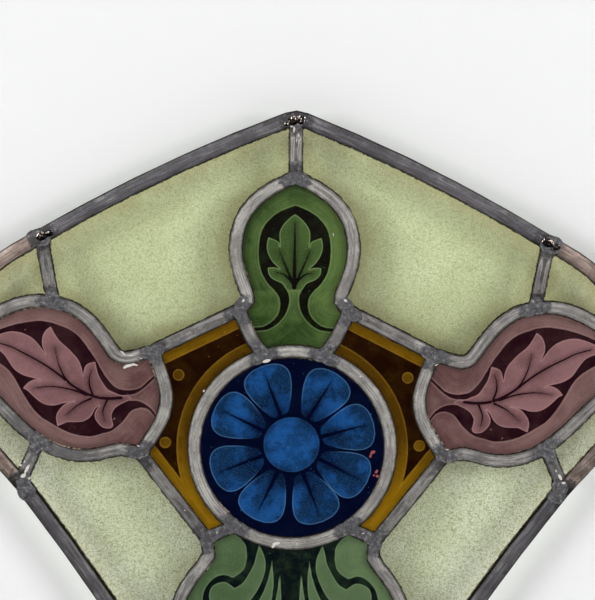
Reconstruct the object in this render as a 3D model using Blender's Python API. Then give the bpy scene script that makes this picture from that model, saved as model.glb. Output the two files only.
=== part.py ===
"""A leaded panel of painted glass: a roundel with a flower, four leaf-shaped lobes and two wings round it,
in a field of pale glass with a curved kite for its outline. It is a flat window light, held in a rebate.

Metres, +Z up. The panel stands upright, its front looks along -Y, and its back lies in the plane y = 0.
A point of the panel is a complex number, x + z * 1j, measured from the middle of the roundel.
"""
import cmath
from math import atan, cos, radians, sin, tan

import bmesh
import bpy

# The lead came: an H in section, two leaves joined by a heart, with the glass in its channels
LEAF_WIDTH = 0.008
LEAF_THICKNESS = 0.0012
HEART_THICKNESS = 0.0015
CHANNEL_HEIGHT = 0.0036

# The border came: wider, closed and chamfered on its outer side
BORDER_LEAF_WIDTH = 0.0095
BORDER_OUTSIDE = 0.0015
BORDER_CHAMFER = 0.0009

# The glass and its clearances
GLASS_THICKNESS = 0.003
GLASS_EDGE_GAP = 0.0005
JOINT_GAP = 0.0003

# The outline, drawn along the heart of the border came. A reach is measured from the middle line, a height
# or depth from the middle of the roundel
APEX_HEIGHT = 0.2195
APEX_ROUNDING = 0.016
UPPER_BULGE = 0.0037
UPPER_JOINT_REACH = 0.1648
UPPER_JOINT_HEIGHT = 0.1413
EAR_REACH = 0.1393
EAR_HEIGHT = 0.0562
EAR_RADIUS = 0.0865
EAR_START_ANGLE = 59.5
EAR_TIP_ANGLE = 3
EAR_END_ANGLE = -40
LOWER_JOINT_REACH = 0.1803
LOWER_JOINT_DEPTH = 0.0290
FOOT_DEPTH = 0.3265
LOWER_HOLLOW = 0.0087
LOWER_PARTS = 7
BULB_JOINT = 3

# The roundel, and where the ties from its wings meet it
ROUNDEL_RADIUS = 0.0645
UPPER_TIE_ANGLE = 72.4
LOWER_TIE_ANGLE = -54.8

# The corners where the leads of the right wing meet
WING_TOP_REACH = 0.0360
WING_TOP_HEIGHT = 0.0912
WING_SHOULDER_REACH = 0.0917
WING_SHOULDER_HEIGHT = 0.0635
WING_HIP_REACH = 0.0993
WING_HIP_DEPTH = 0.0050
WING_FOOT_REACH = 0.0560
WING_FOOT_DEPTH = 0.0615

# The tip of the top lobe, and the short lead between the bottom lobe's tip and the foot
TOP_TIP_HEIGHT = 0.1786
FOOT_LEAD_LENGTH = 0.0625

# The curved leads of the right half as drawn, each from one joint to the next
TOP_LOBE = [
    0.0000 + 0.1786j, 0.0154 + 0.1707j, 0.0270 + 0.1615j, 0.0352 + 0.1490j, 0.0384 + 0.1320j,
    0.0363 + 0.1175j, 0.0318 + 0.1050j, 0.0302 + 0.0975j, 0.0360 + 0.0912j,
]
SIDE_LOBE_UPPER = [
    0.0917 + 0.0635j, 0.1003 + 0.0607j, 0.1090 + 0.0586j, 0.1163 + 0.0613j, 0.1232 + 0.0713j,
    0.1328 + 0.0830j, 0.1440 + 0.0912j, 0.1566 + 0.0948j, 0.1715 + 0.0952j, 0.1885 + 0.0897j,
    0.2072 + 0.0778j, 0.2257 + 0.0607j,
]
SIDE_LOBE_LOWER = [
    0.0993 - 0.0050j, 0.1125 - 0.0023j, 0.1268 - 0.0057j, 0.1395 - 0.0068j, 0.1535 - 0.0041j,
    0.1664 + 0.0026j, 0.1790 + 0.0130j, 0.1925 + 0.0270j, 0.2090 + 0.0435j, 0.2257 + 0.0607j,
]
SIDE_LOBE_END = [
    0.0917 + 0.0635j, 0.0862 + 0.0492j, 0.0826 + 0.0352j, 0.0843 + 0.0215j, 0.0905 + 0.0090j,
    0.0993 - 0.0050j,
]
BOTTOM_LOBE = [
    0.0560 - 0.0615j, 0.0545 - 0.0735j, 0.0640 - 0.0868j, 0.0720 - 0.1005j, 0.0770 - 0.1190j,
    0.0762 - 0.1385j, 0.0665 - 0.1630j, 0.0500 - 0.1900j, 0.0310 - 0.2180j, 0.0140 - 0.2440j,
    0.0000 - 0.2640j,
]
UPPER_TIE = [0.0360 + 0.0912j, 0.0275 + 0.0730j, 0.0195 + 0.0615j]

# The drawn points at which a short lead leaves a lobe
UPPER_EAR_POINT = 7
LOWER_EAR_POINT = 5
BULB_POINT = 5

# How finely the curves are divided
SPLINE_STEPS = 2
ARC_STEP = 7.5
LONG_ARC_PARTS = 5

# How far up from the foot the seat of the mount lies, on the back of the border
SEAT_HEIGHT = 0.006

CAME_DEPTH = CHANNEL_HEIGHT + 2 * LEAF_THICKNESS
HALF_LEAF = LEAF_WIDTH / 2
BORDER_INSIDE = BORDER_LEAF_WIDTH - BORDER_OUTSIDE
GLASS_INSET = HEART_THICKNESS / 2 + GLASS_EDGE_GAP
UPPER_JOINT = complex(UPPER_JOINT_REACH, UPPER_JOINT_HEIGHT)
EAR_CENTRE = complex(EAR_REACH, EAR_HEIGHT)
LOWER_JOINT = complex(LOWER_JOINT_REACH, -LOWER_JOINT_DEPTH)
WING_TOP = complex(WING_TOP_REACH, WING_TOP_HEIGHT)
WING_SHOULDER = complex(WING_SHOULDER_REACH, WING_SHOULDER_HEIGHT)
WING_HIP = complex(WING_HIP_REACH, -WING_HIP_DEPTH)
WING_FOOT = complex(WING_FOOT_REACH, -WING_FOOT_DEPTH)

MATERIALS = {
    "lead": ((0.20, 0.195, 0.20), 0.55, 0.9, 1.0),
    "pale_green_glass": ((0.52, 0.60, 0.33), 0.35, 0.0, 0.55),
    "blue_glass": ((0.010, 0.060, 0.22), 0.15, 0.0, 0.85),
    "amber_glass": ((0.30, 0.17, 0.008), 0.15, 0.0, 0.85),
    "green_glass": ((0.055, 0.11, 0.030), 0.15, 0.0, 0.85),
    "purple_glass": ((0.20, 0.10, 0.11), 0.15, 0.0, 0.85),
}


def unit(step):
    return step / abs(step)


def arc(centre, radius, start, end):
    """Points on a circle from the angle start to the angle end, in degrees."""
    parts = max(1, round(abs(end - start) / ARC_STEP))
    angles = [radians(start + (end - start) * i / parts) for i in range(parts + 1)]
    return [centre + radius * complex(cos(a), sin(a)) for a in angles]


def bowed(start, end, bulge, parts):
    """A shallow arc from start to end, which rises to the left of the chord by bulge at its middle."""
    rise = 1j * unit(end - start) * bulge
    shares = [i / parts for i in range(parts + 1)]
    return [start + (end - start) * s + rise * (1 - (2 * s - 1) ** 2) for s in shares]


def drawn(points, start, end):
    """The smooth line through points, turned and stretched so that it runs from start to end."""
    stretch = (end - start) / (points[-1] - points[0])
    placed = [start + (point - points[0]) * stretch for point in points]
    ends = [2 * placed[0] - placed[1], *placed, 2 * placed[-1] - placed[-2]]
    line = []
    for a, b, c, d in zip(ends, ends[1:], ends[2:], ends[3:]):
        for t in (i / SPLINE_STEPS for i in range(SPLINE_STEPS)):
            bend = (2 * a - 5 * b + 4 * c - d) * t + (3 * b - a - 3 * c + d) * t * t
            line.append(b + t * ((c - a) + bend) / 2)
    return line + [placed[-1]]


def split(line, point):
    """A drawn line, cut in two at one of its drawn points."""
    return line[:point * SPLINE_STEPS + 1], line[point * SPLINE_STEPS:]


def mirrored(line):
    """The same line on the left half of the panel, run the other way, so that its sides stay the same."""
    return [-point.conjugate() for point in reversed(line)]


def chained(*legs):
    """One line from legs that meet end to end, each turned round where it needs to be."""
    line = list(legs[0])
    for leg in legs[1:]:
        turned = abs(leg[0] - line[-1]) > abs(leg[-1] - line[-1])
        line += (leg[::-1] if turned else leg)[1:]
    return line


def lengthened(line, length):
    """A line made longer at both ends, straight on."""
    first = line[0] + length * unit(line[0] - line[1])
    last = line[-1] + length * unit(line[-1] - line[-2])
    return [first, *line[1:-1], last]


def shifted(line, distance, closed=False):
    """A line moved to its left by distance, with mitred corners."""
    moved = []
    for i, point in enumerate(line):
        at_start, at_end = i == 0 and not closed, i == len(line) - 1 and not closed
        incoming = unit(line[1] - point if at_start else point - line[i - 1])
        outgoing = unit(point - line[i - 1] if at_end else line[(i + 1) % len(line)] - point)
        square = 1 + (incoming.conjugate() * outgoing).real
        moved.append(point + distance * 1j * (incoming + outgoing) / square)
    return moved


def clearance(point, loop):
    """How far a point is from the nearest side of a closed line."""
    nearest = []
    for a, b in zip(loop, loop[1:] + loop[:1]):
        share = ((point - a) * (b - a).conjugate()).real / abs(b - a) ** 2
        nearest.append(abs(point - a - (b - a) * min(1, max(0, share))))
    return min(nearest)


def inset(loop, distance):
    """A closed line shrunk by distance. Points that a sharp corner leaves too near the line are dropped."""
    area = sum((a.conjugate() * b).imag for a, b in zip(loop, loop[1:] + loop[:1]))
    inner = shifted(loop, distance if area > 0 else -distance, closed=True)
    return [point for point in inner if clearance(point, loop) > 0.98 * distance]


def add_object(name, shape, material=None):
    """A new object from a bmesh, hung on the middle of the panel, with its faces pointing out."""
    bmesh.ops.recalc_face_normals(shape, faces=shape.faces)
    mesh = bpy.data.meshes.new(name)
    shape.to_mesh(mesh)
    shape.free()
    obj = bpy.data.objects.new(name, mesh)
    bpy.context.collection.objects.link(obj)
    obj.parent = panel_middle
    if material:
        mesh.materials.append(bpy.data.materials[material])
    return obj


def sweep(name, line, section, closed=False, material=None):
    """A section of (side, depth) points drawn along a line. A closed line makes a ring without ends."""
    shape = bmesh.new()
    rails = []
    for side, depth in section:
        rail = shifted(line, side, closed)
        rails.append([shape.verts.new((p.real, depth, p.imag)) for p in rail])
    spans = len(line) if closed else len(line) - 1
    for rail, beside in zip(rails, rails[1:] + rails[:1]):
        for i in range(spans):
            j = (i + 1) % len(line)
            shape.faces.new((rail[i], rail[j], beside[j], beside[i]))
    if not closed:
        shape.faces.new([rail[0] for rail in rails])
        shape.faces.new([rail[-1] for rail in rails])
    return add_object(name, shape, material)


def came_section():
    """The H: two leaves, the heart between them, and a channel on each side."""
    leaf, heart = HALF_LEAF, HEART_THICKNESS / 2
    face, channel = CAME_DEPTH / 2, CHANNEL_HEIGHT / 2
    front = [(leaf, -face), (leaf, -channel), (heart, -channel)]
    right = front + [(side, -depth) for side, depth in reversed(front)]
    return right + [(-side, depth) for side, depth in reversed(right)]


def border_section():
    """The border came: a channel on its inner side, and a closed outer side with chamfered corners."""
    face, channel, bevel = CAME_DEPTH / 2, CHANNEL_HEIGHT / 2, BORDER_CHAMFER
    inner, heart, outer = -BORDER_INSIDE, -HEART_THICKNESS / 2, BORDER_OUTSIDE
    front = [(heart, -channel), (inner, -channel), (inner, -face)]
    front += [(outer - bevel, -face), (outer, bevel - face)]
    return front + [(side, -depth) for side, depth in reversed(front)]


def room_of(line, inside=HALF_LEAF, outside=HALF_LEAF, closed=False):
    """The space a came and its joint gap take up, as a cutter for the cames that end on it."""
    low, high = -inside - JOINT_GAP, outside + JOINT_GAP
    section = [(low, -CAME_DEPTH), (high, -CAME_DEPTH), (high, CAME_DEPTH), (low, CAME_DEPTH)]
    run = line if closed else lengthened(line, JOINT_GAP)
    cutter = sweep("room", run, section, closed)
    cutter.hide_render = True
    cutter.display_type = "WIRE"
    return cutter


def mitre_room(line, other):
    """A cutter for a line that meets another at a corner: all that is nearer to the other line."""
    joint, own, across = next(
        (own[0], unit(own[1] - own[0]), unit(across[1] - across[0]))
        for own in (line, line[::-1])
        for across in (other, other[::-1])
        if abs(own[0] - across[0]) < JOINT_GAP
    )
    halfway = cmath.sqrt(own * across)
    if (halfway.conjugate() * across).imag < 0:
        halfway = -halfway
    reach = 2 * LEAF_WIDTH
    return room_of([joint - reach * halfway, joint + reach * halfway], -JOINT_GAP / 2, reach)


def biggest_body(mesh):
    """Keeps only the largest of the bodies that a cut has left."""
    shape = bmesh.new()
    shape.from_mesh(mesh)
    waiting, bodies = set(shape.faces), []
    while waiting:
        body, edge_on = set(), [next(iter(waiting))]
        while edge_on:
            face = edge_on.pop()
            if face not in body:
                body.add(face)
                edge_on += [other for edge in face.edges for other in edge.link_faces]
        bodies.append(body)
        waiting -= body
    kept = max(bodies, key=lambda body: sum(face.calc_area() for face in body))
    bmesh.ops.delete(shape, geom=[face for face in shape.faces if face not in kept], context="FACES")
    shape.to_mesh(mesh)
    shape.free()


def cut_back(came, rooms):
    """Cuts the ends of a came where other cames run, and applies the cuts."""
    for room in rooms:
        cut = came.modifiers.new("end", "BOOLEAN")
        cut.operation = "DIFFERENCE"
        cut.solver = "EXACT"
        cut.object = room
    bpy.context.view_layer.update()
    finished = came.evaluated_get(bpy.context.evaluated_depsgraph_get())
    mesh = bpy.data.meshes.new_from_object(finished)
    came.modifiers.clear()
    came.data = mesh
    mesh.name = came.name
    biggest_body(mesh)


def add_pane(name, loop, material):
    """A pane of glass that fills a closed line of leads, its edges held in their channels."""
    shape = bmesh.new()
    front = -GLASS_THICKNESS / 2
    corners = [shape.verts.new((p.real, front, p.imag)) for p in inset(loop, GLASS_INSET)]
    face = shape.faces.new(corners)
    grown = bmesh.ops.extrude_face_region(shape, geom=[face])["geom"]
    back = [item for item in grown if isinstance(item, bmesh.types.BMVert)]
    bmesh.ops.translate(shape, verts=back, vec=(0, GLASS_THICKNESS, 0))
    return add_object(name, shape, material)


def make_material(name, colour, roughness, metallic, alpha):
    material = bpy.data.materials.new(name)
    material.use_nodes = True
    principled = material.node_tree.nodes["Principled BSDF"]
    principled.inputs["Base Color"].default_value = (*colour, 1)
    principled.inputs["Roughness"].default_value = roughness
    principled.inputs["Metallic"].default_value = metallic
    principled.inputs["Alpha"].default_value = alpha
    material.diffuse_color = (*colour, alpha)


def border_lines():
    """The right half of the outline, as the stretches between its joints."""
    slope = atan((APEX_HEIGHT - UPPER_JOINT.imag) / UPPER_JOINT.real)
    shoulder = complex(APEX_ROUNDING * sin(slope), APEX_HEIGHT - APEX_ROUNDING * tan(slope / 2) * sin(slope))
    lower = bowed(LOWER_JOINT, complex(0, -FOOT_DEPTH), -LOWER_HOLLOW, LOWER_PARTS)
    return {
        "upper": [complex(0, APEX_HEIGHT)] + bowed(shoulder, UPPER_JOINT, UPPER_BULGE, LONG_ARC_PARTS),
        "ear_upper": [UPPER_JOINT] + arc(EAR_CENTRE, EAR_RADIUS, EAR_START_ANGLE, EAR_TIP_ANGLE),
        "ear_lower": arc(EAR_CENTRE, EAR_RADIUS, EAR_TIP_ANGLE, EAR_END_ANGLE) + [LOWER_JOINT],
        "lower": lower[:BULB_JOINT + 1],
        "tail": lower[BULB_JOINT:],
    }


def inner_lines(border):
    """The leads of the right half inside the border, from joint to joint."""
    ring = arc(0, ROUNDEL_RADIUS, UPPER_TIE_ANGLE, LOWER_TIE_ANGLE)
    ear_tip, top_tip = border["ear_upper"][-1], complex(0, TOP_TIP_HEIGHT)
    bottom_tip = complex(0, FOOT_LEAD_LENGTH - FOOT_DEPTH)
    upper = drawn(SIDE_LOBE_UPPER, WING_SHOULDER, ear_tip)
    lower = drawn(SIDE_LOBE_LOWER, WING_HIP, ear_tip)
    bottom = drawn(BOTTOM_LOBE, WING_FOOT, bottom_tip)
    lines = {
        "lobe_top": drawn(TOP_LOBE, top_tip, WING_TOP),
        "lobe_end": drawn(SIDE_LOBE_END, WING_SHOULDER, WING_HIP),
        "wing_upper": [WING_TOP, WING_SHOULDER],
        "wing_lower": [WING_HIP, WING_FOOT],
        "ring": ring,
        "tie_upper": drawn(UPPER_TIE, WING_TOP, ring[0]),
        "tie_lower": [WING_FOOT, ring[-1]],
        "apex": [top_tip, complex(0, APEX_HEIGHT)],
        "foot": [bottom_tip, border["tail"][-1]],
    }
    lines["lobe_upper_in"], lines["lobe_upper_out"] = split(upper, UPPER_EAR_POINT)
    lines["lobe_lower_in"], lines["lobe_lower_out"] = split(lower, LOWER_EAR_POINT)
    lines["lobe_bottom_in"], lines["lobe_bottom_out"] = split(bottom, BULB_POINT)
    lines["ear_upper"] = [lines["lobe_upper_out"][0], border["ear_upper"][0]]
    lines["ear_lower"] = [lines["lobe_lower_out"][0], border["lower"][0]]
    lines["bulb"] = [lines["lobe_bottom_out"][0], border["tail"][0]]
    return lines


def make_cames(border, inner):
    """Every came, the long ones first. A came is mitred where leads meet at a corner, and is cut back
    from a came that runs past its end."""
    rooms = {}

    def add(name, line, ends_on=(), corners=(), outside=None):
        section = came_section() if outside is None else border_section()
        came = sweep(name, line, section, material="lead")
        mitres = [mitre_room(line, other) for other in corners]
        cut_back(came, mitres + [rooms[other] for other in ends_on])
        for mitre in mitres:
            bpy.data.objects.remove(mitre)
        rooms[name] = room_of(line) if outside is None else room_of(line, BORDER_INSIDE, outside)

    ring_top = arc(0, ROUNDEL_RADIUS, 180 - UPPER_TIE_ANGLE, UPPER_TIE_ANGLE)
    ring_bottom = arc(0, ROUNDEL_RADIUS, LOWER_TIE_ANGLE, -180 - LOWER_TIE_ANGLE)
    ring = chained(ring_top, inner["ring"], ring_bottom, mirrored(inner["ring"]))[:-1]
    sweep("came_roundel", ring, came_section(), closed=True, material="lead")
    rooms["came_roundel"] = room_of(ring, closed=True)

    past_border = 2 * BORDER_LEAF_WIDTH
    side = chained(border["ear_upper"], border["ear_lower"])
    half_bottom = chained(border["lower"], border["tail"])
    strips = ["came_border_top", "came_border_bottom"]
    add(strips[0], chained(mirrored(border["upper"]), border["upper"]), outside=past_border)
    add(strips[1], chained(half_bottom, mirrored(half_bottom)), outside=past_border)
    add("came_border_right", side, strips, outside=past_border)
    add("came_border_left", mirrored(side), strips, outside=past_border)

    lobe = {place: chained(inner[f"lobe_{place}_in"], inner[f"lobe_{place}_out"])
            for place in ("upper", "lower", "bottom")}
    top, end = inner["lobe_top"], inner["lobe_end"]
    wing_upper, wing_lower = inner["wing_upper"], inner["wing_lower"]
    tie_upper, tie_lower = inner["tie_upper"], inner["tie_lower"]
    leads = {
        "lobe_top": (top, [], [wing_upper, tie_upper, inner["apex"], mirrored(top)]),
        "lobe_bottom": (lobe["bottom"], [], [wing_lower, tie_lower, inner["foot"], mirrored(lobe["bottom"])]),
        "lobe_upper": (lobe["upper"], ["came_border"], [wing_upper, end]),
        "lobe_lower": (lobe["lower"], ["came_border", "came_lobe_upper"], [wing_lower, end]),
        "lobe_end": (end, [], [wing_upper, lobe["upper"], wing_lower, lobe["lower"]]),
        "wing_upper": (wing_upper, [], [top, tie_upper, lobe["upper"], end]),
        "wing_lower": (wing_lower, [], [lobe["lower"], end, lobe["bottom"], tie_lower]),
        "tie_upper": (tie_upper, ["came_roundel"], [top, wing_upper]),
        "tie_lower": (tie_lower, ["came_roundel"], [lobe["bottom"], wing_lower]),
        "ear_upper": (inner["ear_upper"], ["came_lobe_upper", strips[0], "came_border"], []),
        "ear_lower": (inner["ear_lower"], ["came_lobe_lower", strips[1], "came_border"], []),
        "bulb": (inner["bulb"], ["came_lobe_bottom", strips[1]], []),
    }
    for hand, turn in (("right", list), ("left", mirrored)):
        for key, (line, ends_on, corners) in leads.items():
            crossed = [other if other in rooms else f"{other}_{hand}" for other in ends_on]
            add(f"came_{key}_{hand}", turn(line), crossed, [turn(other) for other in corners])
    add("came_apex", inner["apex"], [strips[0]], [top, mirrored(top)])
    add("came_foot", inner["foot"], [strips[1]], [lobe["bottom"], mirrored(lobe["bottom"])])
    for room in rooms.values():
        bpy.data.objects.remove(room)


def make_glass(border, inner):
    """Every pane, as the loop of leads that holds it."""
    ring_top = arc(0, ROUNDEL_RADIUS, UPPER_TIE_ANGLE, 180 - UPPER_TIE_ANGLE)
    ring_bottom = arc(0, ROUNDEL_RADIUS, LOWER_TIE_ANGLE, -180 - LOWER_TIE_ANGLE)
    ring = inner["ring"]
    whole_ring = chained(ring, ring_bottom, mirrored(ring), ring_top)
    top_half = chained(inner["lobe_top"], inner["tie_upper"])
    bottom_half = chained(inner["tie_lower"][::-1], inner["lobe_bottom_in"], inner["lobe_bottom_out"])
    top_loop = chained(top_half, ring_top, mirrored(top_half))
    bottom_loop = chained(bottom_half, mirrored(bottom_half), ring_bottom)
    add_pane("glass_roundel", whole_ring[:-1], "blue_glass")
    add_pane("glass_lobe_top", top_loop[:-1], "green_glass")
    add_pane("glass_lobe_bottom", bottom_loop[:-1], "green_glass")
    pale, upper_in, upper_out = "pale_green_glass", inner["lobe_upper_in"], inner["lobe_upper_out"]
    lower_in, lower_out, end = inner["lobe_lower_in"], inner["lobe_lower_out"], inner["lobe_end"]
    wing_upper, wing_lower, ear_upper = inner["wing_upper"], inner["wing_lower"], inner["ear_upper"]
    loops = {
        "lobe": ("purple_glass", [upper_in, upper_out, lower_out, lower_in, end]),
        "wing": ("amber_glass", [wing_upper, end, wing_lower, inner["tie_lower"], ring, inner["tie_upper"]]),
        "field_upper": (pale, [border["upper"], ear_upper, upper_in, wing_upper, inner["lobe_top"],
                               inner["apex"]]),
        "corner_upper": (pale, [border["ear_upper"], upper_out, ear_upper]),
        "corner_lower": (pale, [border["ear_lower"], inner["ear_lower"], lower_out]),
        "field_lower": (pale, [border["lower"], inner["bulb"], inner["lobe_bottom_in"], wing_lower, lower_in,
                               inner["ear_lower"]]),
        "tail": (pale, [border["tail"], inner["foot"], inner["lobe_bottom_out"], inner["bulb"]]),
    }
    for name, (material, legs) in loops.items():
        loop = chained(*legs)[:-1]
        add_pane(f"glass_{name}_right", loop, material)
        add_pane(f"glass_{name}_left", mirrored(loop), material)


for old in list(bpy.data.objects):
    bpy.data.objects.remove(old)
for name, values in MATERIALS.items():
    make_material(name, *values)
panel_middle = bpy.data.objects.new("panel_middle", None)
panel_middle.location = (0, -CAME_DEPTH / 2, FOOT_DEPTH - SEAT_HEIGHT)
bpy.context.collection.objects.link(panel_middle)
border = border_lines()
inner = inner_lines(border)
make_cames(border, inner)
make_glass(border, inner)
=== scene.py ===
# %% [markdown]
# # A leaded window of painted glass
# A small light from a traceried window: a blue flower in a ring, four painted lobes and two amber wings,
# set in pale pebbled glass. Strips of lead hold the pieces of glass, and solder joins the lead. The solid
# model gives the shapes and their places. This lesson dresses them: it rounds and dents the lead, runs
# solder over its joints, draws the black cement beside it, and paints the glass.

# %% The frame, and the box it has to stay in
import math

import bpy
import numpy as np
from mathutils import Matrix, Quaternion, Vector
from mathutils.bvhtree import BVHTree


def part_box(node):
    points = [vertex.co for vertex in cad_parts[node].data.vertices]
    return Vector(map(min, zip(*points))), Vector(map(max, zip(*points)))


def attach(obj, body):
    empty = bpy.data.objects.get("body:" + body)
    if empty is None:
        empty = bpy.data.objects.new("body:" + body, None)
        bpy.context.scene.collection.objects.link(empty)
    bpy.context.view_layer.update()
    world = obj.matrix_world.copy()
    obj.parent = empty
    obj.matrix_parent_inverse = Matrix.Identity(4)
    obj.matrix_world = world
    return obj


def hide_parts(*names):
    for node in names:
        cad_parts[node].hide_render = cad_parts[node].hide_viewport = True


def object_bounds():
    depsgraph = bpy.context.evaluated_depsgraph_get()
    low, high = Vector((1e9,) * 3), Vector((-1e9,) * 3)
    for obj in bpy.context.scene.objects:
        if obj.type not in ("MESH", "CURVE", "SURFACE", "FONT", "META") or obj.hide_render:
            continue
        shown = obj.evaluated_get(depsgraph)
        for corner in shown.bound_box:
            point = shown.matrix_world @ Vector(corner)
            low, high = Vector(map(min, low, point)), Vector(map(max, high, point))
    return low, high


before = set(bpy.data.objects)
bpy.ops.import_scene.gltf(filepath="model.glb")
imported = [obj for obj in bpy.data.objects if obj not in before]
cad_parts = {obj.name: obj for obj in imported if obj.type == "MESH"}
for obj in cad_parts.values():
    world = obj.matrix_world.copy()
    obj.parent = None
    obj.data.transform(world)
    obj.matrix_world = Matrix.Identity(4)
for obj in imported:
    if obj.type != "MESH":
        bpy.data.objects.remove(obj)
cad_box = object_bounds()
MM = 0.001
ROUNDEL_LOW, ROUNDEL_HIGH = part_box("glass_roundel")
MIDDLE = (ROUNDEL_LOW + ROUNDEL_HIGH) / 2
print("middle of the roundel, in millimetres:", [round(v / MM, 1) for v in MIDDLE])


# %% [markdown]
# Blender's operators work on what is selected, and everything is selected after the solid model comes in.
# So each step starts by selecting one object and nothing else. A point of the panel is written as a
# complex number, x + z * 1j, in millimetres from the middle of the roundel. That makes mirroring and
# measuring short.

# %% Small helpers: select one piece, and read a mesh as points of the panel
SAME_POINT = 0.01
FLAT_ANGLE, SQUARE_ANGLE, SMOOTH_ANGLE = math.radians(1), math.radians(40), math.radians(40)
FAR_AWAY = 1e6


def only(piece):
    bpy.ops.object.select_all(action="DESELECT")
    piece.select_set(True)
    bpy.context.view_layer.objects.active = piece


def copy_of_node(node, name):
    """A new object with its own copy of a solid's mesh, its loose triangles joined up."""
    piece = bpy.data.objects.new(name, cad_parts[node].data.copy())
    bpy.context.scene.collection.objects.link(piece)
    piece.data.materials.clear()
    only(piece)
    bpy.ops.object.mode_set(mode="EDIT")
    bpy.ops.mesh.select_all(action="SELECT")
    bpy.ops.mesh.remove_doubles(threshold=SAME_POINT * MM)
    bpy.ops.mesh.tris_convert_to_quads(face_threshold=FLAT_ANGLE, shape_threshold=SQUARE_ANGLE)
    bpy.ops.object.mode_set(mode="OBJECT")
    return piece


def places_of(mesh):
    """The mesh's points in metres, one row each."""
    places = np.zeros(len(mesh.vertices) * 3)
    mesh.vertices.foreach_get("co", places)
    return places.reshape(-1, 3)


def panel_points(mesh):
    """The mesh's points as x + z * 1j, in millimetres from the middle of the roundel."""
    places = places_of(mesh)
    return (places[:, 0] - MIDDLE.x) / MM + 1j * (places[:, 2] - MIDDLE.z) / MM


def distance_to_line(points, line):
    """How far each point is from an open line, in millimetres."""
    nearest = np.full(len(points), FAR_AWAY)
    for a, b in zip(line, line[1:]):
        if a != b:
            share = np.clip(((points - a) * np.conj(b - a)).real / abs(b - a) ** 2, 0, 1)
            nearest = np.minimum(nearest, abs(points - a - share * (b - a)))
    return nearest


def depth_inside(points, outline):
    """How deep each point lies inside a closed outline. Outside it the depth is negative."""
    inside = np.zeros(len(points), bool)
    for a, b in zip(outline, outline[1:] + outline[:1]):
        if a.imag != b.imag:
            crossing = a.real + (points.imag - a.imag) * (b.real - a.real) / (b.imag - a.imag)
            spans = (points.imag > a.imag) != (points.imag > b.imag)
            inside ^= spans & (points.real < crossing)
    distance = distance_to_line(points, outline + outline[:1])
    return np.where(inside, distance, -distance)


def smooth(points, steps=5):
    """A smooth line through a few drawn points."""
    ends = [2 * points[0] - points[1], *points, 2 * points[-1] - points[-2]]
    line = []
    for a, b, c, d in zip(ends, ends[1:], ends[2:], ends[3:]):
        for t in (i / steps for i in range(steps)):
            bend = (2 * a - 5 * b + 4 * c - d) * t + (3 * b - a - 3 * c + d) * t * t
            line.append(b + t * ((c - a) + bend) / 2)
    return line + [points[-1]]


def outline_of(strokes):
    """A closed outline from smooth strokes that meet at corners."""
    return [point for stroke in strokes for point in smooth(stroke)[:-1]]


def flipped(line):
    """The same line on the other half of the panel, run the other way."""
    return [-point.conjugate() for point in reversed(line)]


# %% [markdown]
# The joints of the lead matter twice: solder runs over each one, and the lead beside it is darker, where the
# hot iron has smoothed it. They are written for the right half and mirrored.

# %% Where the leads meet
APEX, TOP_TIP, BOTTOM_TIP, FOOT = 215.9j, 178.6j, -264j, -320.2j
SIDE_JOINTS = {
    "border_upper": 163.1 + 138.5j,
    "border_lower": 177.5 - 27.3j,
    "border_tail": 92.9 - 150.4j,
    "lobe_upper": 156.6 + 94.8j,
    "lobe_lower": 166.4 + 2.6j,
    "lobe_tip": 222.0 + 60.6j,
    "bulb": 76.2 - 138.5j,
    "shoulder": 91.7 + 63.5j,
    "hip": 99.3 - 5.0j,
    "wing_top": 36.0 + 91.2j,
    "wing_foot": 56.0 - 61.5j,
    "ring_top": 19.5 + 61.5j,
    "ring_bottom": 37.2 - 52.7j,
}
JOINTS = [APEX, TOP_TIP, BOTTOM_TIP, FOOT]
for joint in SIDE_JOINTS.values():
    JOINTS += [joint, -joint.conjugate()]


# %% [markdown]
# Materials next. One node group holds the look of old lead, because the strips and the solder share it.
# Two more hold the line of cement and the fired paint, which several glasses share. Groups give out colours
# and plain values only. The shader stays in each material.

# %% Helpers for nodes and colours
def colour(red, green, blue):
    """A colour as seen on a screen, 0 to 255, in the linear values that shaders want."""
    parts = (v / 255 for v in (red, green, blue))
    return (*(((v + 0.055) / 1.055) ** 2.4 if v > 0.04 else v / 12.92 for v in parts), 1)


def add_node(tree, kind, inputs=(), **settings):
    """A node with its settings, plain values and links. A link is given as an output socket."""
    node = tree.nodes.new(kind)
    for key, value in settings.items():
        setattr(node, key, value)
    for key, value in dict(inputs).items():
        if isinstance(value, bpy.types.NodeSocket):
            tree.links.new(value, node.inputs[key])
        else:
            node.inputs[key].default_value = value
    return node


def maths(tree, operation, a, b=0.0, c=0.0, clamp=False):
    node = add_node(tree, "ShaderNodeMath", {0: a, 1: b, 2: c}, operation=operation, use_clamp=clamp)
    return node.outputs[0]


def times(tree, a, b):
    return maths(tree, "MULTIPLY", a, b)


def times_plus(tree, a, b, c, clamp=False):
    """a * b + c, as one node."""
    return maths(tree, "MULTIPLY_ADD", a, b, c, clamp)


def mixed(tree, share, a, b, blend="MIX"):
    node = add_node(tree, "ShaderNodeMix", {0: share, 6: a, 7: b}, data_type="RGBA", blend_type=blend)
    return node.outputs[2]


def ramped(tree, value, low, high, start=0.0, end=1.0):
    """A smooth step: start below low, end above high."""
    node = add_node(tree, "ShaderNodeMapRange", {0: value, 1: low, 2: high, 3: start, 4: end},
                    interpolation_type="SMOOTHSTEP")
    return node.outputs[0]


def place_in(tree):
    return add_node(tree, "ShaderNodeTexCoord").outputs["Object"]


def noise(tree, scale, detail=2.0, roughness=0.5):
    """Noise on the object's own coordinates. The scale is in blotches per metre."""
    inputs = {"Vector": place_in(tree), "Scale": scale, "Detail": detail, "Roughness": roughness}
    return add_node(tree, "ShaderNodeTexNoise", inputs).outputs[0]


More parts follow.
